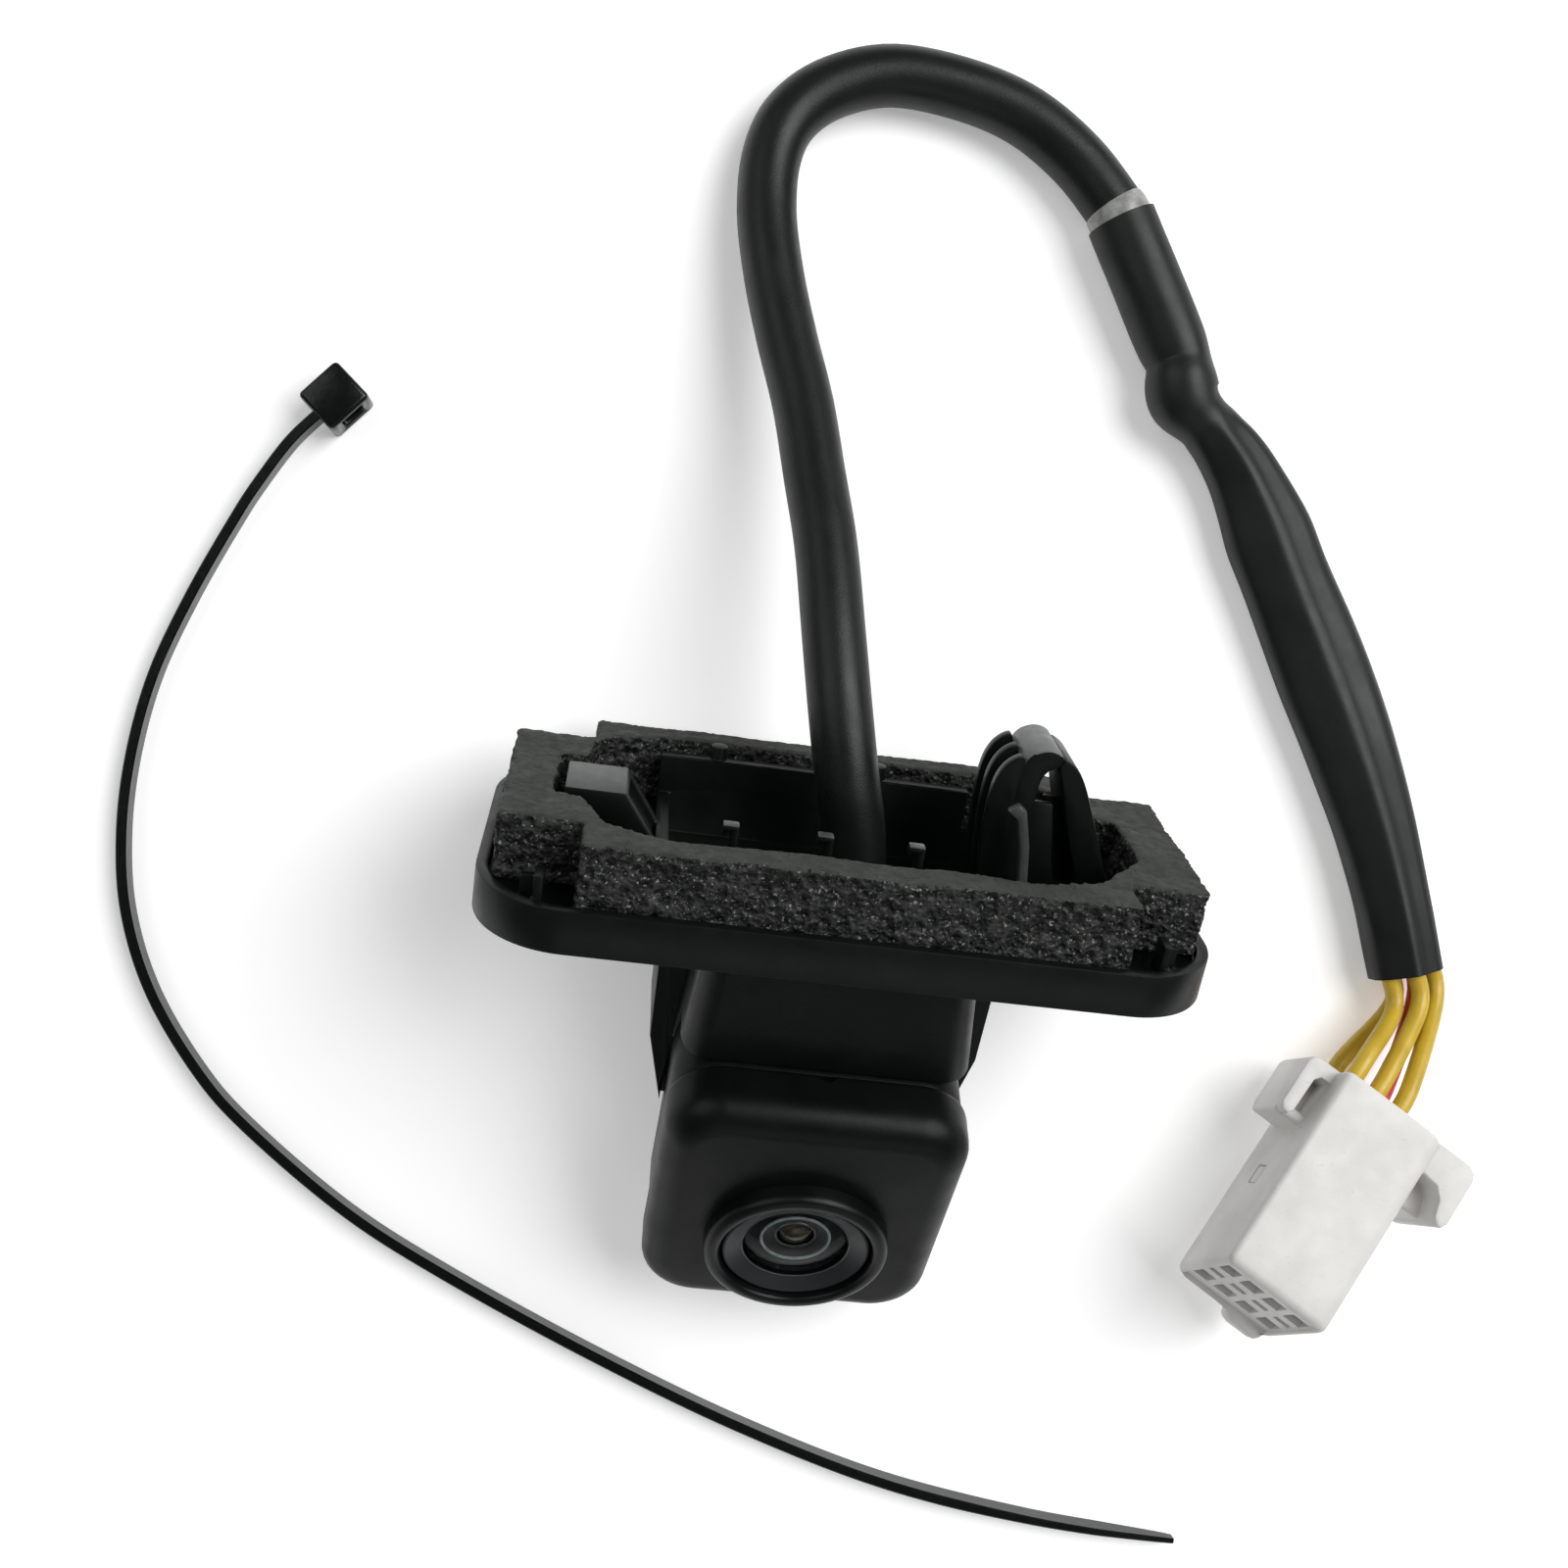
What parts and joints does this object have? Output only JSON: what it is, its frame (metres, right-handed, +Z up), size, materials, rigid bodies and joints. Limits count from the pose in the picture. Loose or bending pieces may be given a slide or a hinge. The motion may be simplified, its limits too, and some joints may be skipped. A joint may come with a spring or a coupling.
{
  "type": "backup camera kit",
  "caption": "Snap-in black trim bezel with a foam gasket and a hooded fisheye camera, its jacketed cable with a white multi-way connector, and a loose cable tie.",
  "frame": {"origin": "centre of the box around the camera and the tie (without the cable, its sleeves, wires and connector), at the height of the table", "axes": "+Z up from the table, +Y along the long way of the kit towards the top of the cable loop, +X towards the connector side; the tie curves round the -X and -Y sides"},
  "size_m": [0.146, 0.1676, 0.0358],
  "materials": {
    "bezel_plastic": "fine matte, slightly grey where the light catches the edges",
    "gasket_foam": "open-cell foam with a smoother grey skin on top",
    "head_plastic": "satin moulded",
    "seal_rubber": "matte",
    "screw_steel": "plain",
    "lens_ring": "satin black, light grey inner cone",
    "lens_glass": "coated, with bluish green and amber reflections",
    "filter_glass": "clear",
    "board_green": "solder mask",
    "chip_black": "matte",
    "link_plastic": "plain",
    "cable_rubber": "satin",
    "tape_white": "semi-clear",
    "sleeve_plastic": "shrunk, semi-matte, softly wrinkled",
    "wire_yellow": "smooth",
    "wire_red": "smooth",
    "plug_nylon": "slightly scuffed",
    "terminal_metal": "plain",
    "tie_nylon": "smooth and shiny"
  },
  "bodies": {
    "camera": {"bezel_plate": "bezel_plastic", "foam_gasket": "gasket_foam", "rear_case": "head_plastic", "front_cover": "head_plastic", "case_seal": "seal_rubber", "case_screws": "screw_steel", "bracket_screws": "screw_steel", "lens_barrel": "lens_ring", "front_lens": "lens_glass", "lens_spacer": "lens_ring", "middle_lens": "lens_glass", "rear_lens": "lens_glass", "filter_glass": "filter_glass", "barrel_seal": "seal_rubber", "image_sensor": "chip_black", "sensor_board": "board_green", "main_board": "board_green", "board_link": "link_plastic", "board_parts": "chip_black", "cable_grommet": "cable_rubber", "camera_cable": "cable_rubber", "tape_edge": "tape_white", "upper_sleeve": "sleeve_plastic", "lower_sleeve": "sleeve_plastic", "wire_1": "wire_yellow", "wire_2": "wire_yellow", "wire_3": "wire_yellow", "wire_4": "wire_yellow", "wire_red": "wire_red", "plug_housing": "plug_nylon", "plug_terminals": "terminal_metal"},
    "snap_leg": {"snap_leg": "bezel_plastic"},
    "plug_retainer": {"plug_retainer": "plug_nylon"},
    "plug_lock": {"plug_lock": "plug_nylon"},
    "tie": {"cable_tie": "tie_nylon"},
    "tie_pawl": {"tie_pawl": "tie_nylon"}
  },
  "joints": [
    {"name": "snap_flex", "type": "hinge", "parent": "camera", "child": "snap_leg", "pos_m": [0.0376, 0.02478, 0.02355], "axis": [0.0447, 0.3638, -0.9304], "range_deg": [0, 8], "stiffness_Nm_per_rad": 0.05},
    {"name": "lock_rock", "type": "hinge", "parent": "camera", "child": "plug_lock", "pos_m": [0.07125, -0.02513, 0.00123], "axis": [-0.7848, 0.6044, -0.1371], "range_deg": [0, 3], "stiffness_Nm_per_rad": 0.3},
    {"name": "retainer_push", "type": "slide", "parent": "camera", "child": "plug_retainer", "axis": [-0.7848, 0.6044, -0.1371], "range_m": [0, 0.0008]},
    {"name": "tie_lift", "type": "slide", "parent": "camera", "child": "tie", "axis": [0, 0, 1], "range_m": [0, 0.05]},
    {"name": "pawl_flex", "type": "hinge", "parent": "tie", "child": "tie_pawl", "pos_m": [-0.03284, 0.06169, 0.0025], "axis": [0, 0, -1], "range_deg": [0, 8], "stiffness_Nm_per_rad": 0.002}
  ]
}
